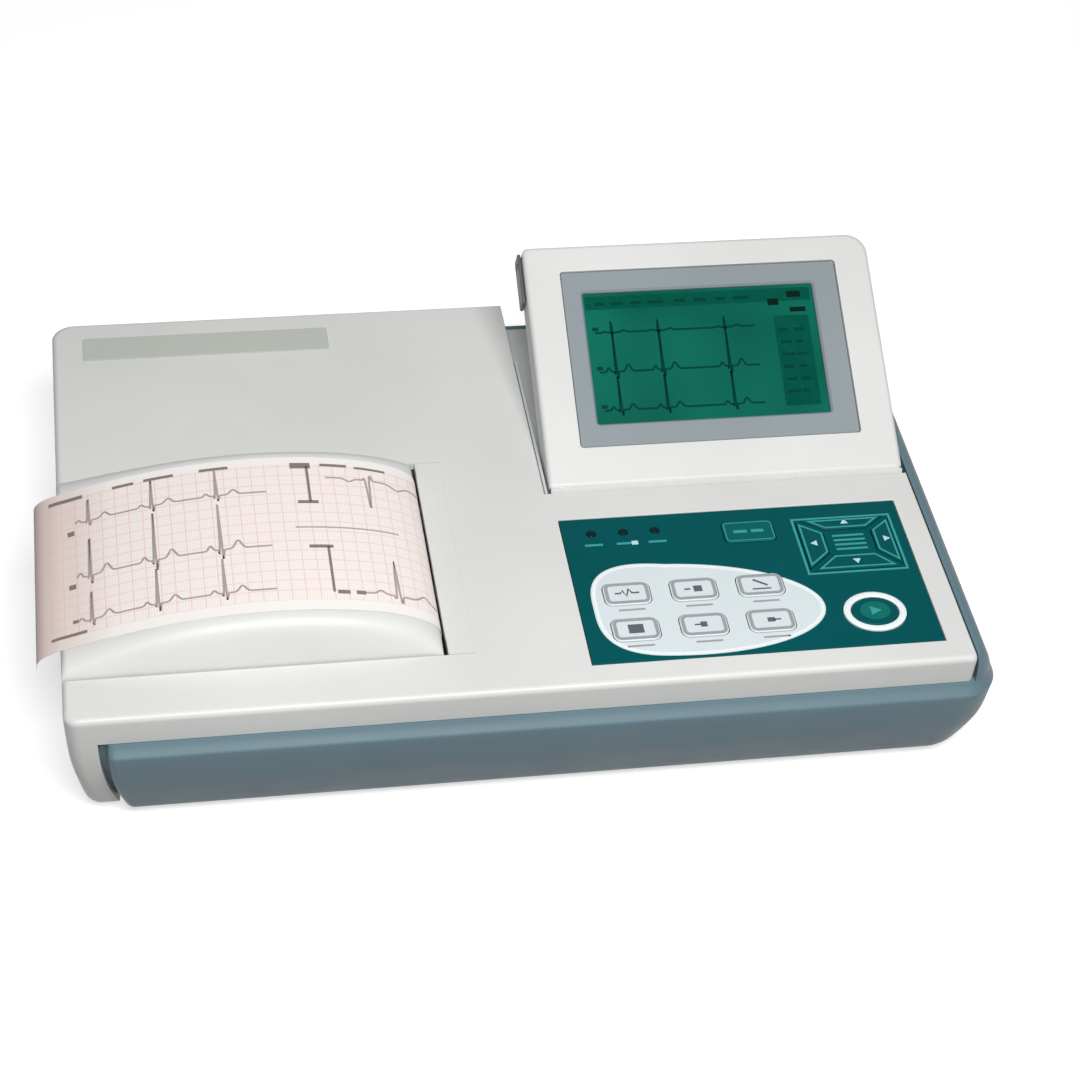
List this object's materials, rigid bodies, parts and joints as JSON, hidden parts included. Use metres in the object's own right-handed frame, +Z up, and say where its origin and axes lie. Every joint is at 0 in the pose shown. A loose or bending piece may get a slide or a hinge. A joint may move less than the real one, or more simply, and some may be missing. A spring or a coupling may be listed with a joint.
{
  "type": "ecg machine",
  "caption": "Flat portable heart-trace recorder with a vaulted paper door, chart paper strip, membrane keypad and a tilting green display",
  "frame": {"origin": "centre of the object's box on the surface it stands on", "axes": "+Z up, +X to the operator's right along the long side, +Y away from the operator"},
  "size_m": [0.3418, 0.2244, 0.1035],
  "materials": {
    "white_shell": "fine satin moulding texture",
    "blue_grey_shell": "fine satin moulding texture",
    "grey_tray": "fine matt moulding texture",
    "dark_plastic": "matt",
    "frame_grey": "satin printed border",
    "lcd": "backlit green film under a clear face",
    "keypad_film": "printed polyester film",
    "key_white": "printed film over a raised key",
    "start_green": "printed film over a raised key",
    "light_lens": "smoked clear",
    "label": "printed label",
    "paper": "thermal chart paper with a pink grid",
    "rubber": "matt",
    "steel": "turned",
    "gear_plastic": "acetal",
    "circuit_board": "green solder mask",
    "battery_wrap": "shrink sleeve",
    "aluminium": "plain sheet"
  },
  "bodies": {
    "root": {"battery_cover": "blue_grey_shell", "battery_pack": "battery_wrap", "bottom_cover": "blue_grey_shell", "data_socket": "steel", "display_tray": "grey_tray", "door_hinge_pin": "steel", "earth_post": "steel", "foot_1": "rubber", "foot_2": "rubber", "foot_3": "rubber", "foot_4": "rubber", "fuse_holder": "dark_plastic", "head_bracket": "steel", "head_spring": "steel", "hinge_pin_left": "steel", "hinge_pin_right": "steel", "keypad_board": "circuit_board", "keypad_panel": "keypad_film", "light_pipe": "light_lens", "main_board": "circuit_board", "mains_inlet": "dark_plastic", "nameplate": "label", "paper_tub": "grey_tray", "paper_web": "paper", "patient_socket": "grey_tray", "power_board": "circuit_board", "print_head": "aluminium", "printer_chassis": "aluminium", "rear_panel": "dark_plastic", "start_key_ring": "key_white", "stepper_motor": "steel", "tear_bar": "white_shell", "top_cover": "white_shell"},
    "display": {"display_bezel": "white_shell", "display_back_cover": "grey_tray", "display_frame": "frame_grey", "lcd_module": "lcd", "display_catch": "dark_plastic"},
    "door": {"paper_door": "white_shell", "paper_strip": "paper"},
    "platen": {"platen_roller": "rubber", "platen_shaft": "steel", "platen_gear": "gear_plastic"},
    "idler": {"idler_gear": "gear_plastic"},
    "pinion": {"motor_pinion": "steel"},
    "roll": {"paper_roll": "paper", "roll_spindle": "grey_tray"},
    "rocker": {"power_rocker": "rubber"},
    "key_1_body": {"key_1": "key_white"},
    "key_2_body": {"key_2": "key_white"},
    "key_3_body": {"key_3": "key_white"},
    "key_4_body": {"key_4": "key_white"},
    "key_5_body": {"key_5": "key_white"},
    "key_6_body": {"key_6": "key_white"},
    "mode_key_body": {"mode_key": "keypad_film"},
    "arrow_up_key_body": {"arrow_up_key": "keypad_film"},
    "arrow_down_key_body": {"arrow_down_key": "keypad_film"},
    "arrow_left_key_body": {"arrow_left_key": "keypad_film"},
    "arrow_right_key_body": {"arrow_right_key": "keypad_film"},
    "start_key_body": {"start_key": "start_green"}
  },
  "joints": [
    {"name": "display_tilt", "type": "hinge", "parent": "root", "child": "display", "pos_m": [0, -0.0016, 0.0539], "axis": [1, 0, 0], "range_deg": [-28, 32]},
    {"name": "paper_door_lift", "type": "hinge", "parent": "root", "child": "door", "pos_m": [-0.1587, 0, 0.051], "axis": [0, -1, 0], "range_deg": [0, 85], "deforming": ["paper_strip"]},
    {"name": "roll_spin", "type": "hinge", "parent": "root", "child": "roll", "pos_m": [-0.1007, 0, 0.032], "axis": [0, 1, 0], "continuous": true},
    {"name": "platen_spin", "type": "hinge", "parent": "door", "child": "platen", "pos_m": [-0.0362, 0, 0.048], "axis": [0, 1, 0], "continuous": true},
    {"name": "idler_spin", "type": "hinge", "parent": "root", "child": "idler", "pos_m": [-0.0362, 0, 0.03], "axis": [0, 1, 0], "continuous": true},
    {"name": "pinion_spin", "type": "hinge", "parent": "root", "child": "pinion", "pos_m": [-0.053, 0, 0.03], "axis": [0, 1, 0], "continuous": true},
    {"name": "power_rock", "type": "hinge", "parent": "root", "child": "rocker", "pos_m": [-0.0567, 0.1038, 0.0265], "axis": [0, 0, 1], "range_deg": [0, 13]},
    {"name": "key_1_press", "type": "slide", "parent": "root", "child": "key_1_body", "axis": [0, 0, -1], "range_m": [0, 0.0006], "stiffness_N_per_m": 1200, "springref_m": -0.0004},
    {"name": "key_2_press", "type": "slide", "parent": "root", "child": "key_2_body", "axis": [0, 0, -1], "range_m": [0, 0.0006], "stiffness_N_per_m": 1200, "springref_m": -0.0004},
    {"name": "key_3_press", "type": "slide", "parent": "root", "child": "key_3_body", "axis": [0, 0, -1], "range_m": [0, 0.0006], "stiffness_N_per_m": 1200, "springref_m": -0.0004},
    {"name": "key_4_press", "type": "slide", "parent": "root", "child": "key_4_body", "axis": [0, 0, -1], "range_m": [0, 0.0006], "stiffness_N_per_m": 1200, "springref_m": -0.0004},
    {"name": "key_5_press", "type": "slide", "parent": "root", "child": "key_5_body", "axis": [0, 0, -1], "range_m": [0, 0.0006], "stiffness_N_per_m": 1200, "springref_m": -0.0004},
    {"name": "key_6_press", "type": "slide", "parent": "root", "child": "key_6_body", "axis": [0, 0, -1], "range_m": [0, 0.0006], "stiffness_N_per_m": 1200, "springref_m": -0.0004},
    {"name": "mode_key_press", "type": "slide", "parent": "root", "child": "mode_key_body", "axis": [0, 0, -1], "range_m": [0, 0.0006], "stiffness_N_per_m": 1200, "springref_m": -0.0004},
    {"name": "arrow_up_key_press", "type": "slide", "parent": "root", "child": "arrow_up_key_body", "axis": [0, 0, -1], "range_m": [0, 0.0006], "stiffness_N_per_m": 1200, "springref_m": -0.0004},
    {"name": "arrow_down_key_press", "type": "slide", "parent": "root", "child": "arrow_down_key_body", "axis": [0, 0, -1], "range_m": [0, 0.0006], "stiffness_N_per_m": 1200, "springref_m": -0.0004},
    {"name": "arrow_left_key_press", "type": "slide", "parent": "root", "child": "arrow_left_key_body", "axis": [0, 0, -1], "range_m": [0, 0.0006], "stiffness_N_per_m": 1200, "springref_m": -0.0004},
    {"name": "arrow_right_key_press", "type": "slide", "parent": "root", "child": "arrow_right_key_body", "axis": [0, 0, -1], "range_m": [0, 0.0006], "stiffness_N_per_m": 1200, "springref_m": -0.0004},
    {"name": "start_key_press", "type": "slide", "parent": "root", "child": "start_key_body", "axis": [0, 0, -1], "range_m": [0, 0.0006], "stiffness_N_per_m": 1200, "springref_m": -0.0004}
  ],
  "couplings": [
    {"joint": "platen_spin", "follows": "roll_spin", "ratio": -3.5},
    {"joint": "idler_spin", "follows": "roll_spin", "ratio": 1.75},
    {"joint": "pinion_spin", "follows": "roll_spin", "ratio": -4.375}
  ]
}
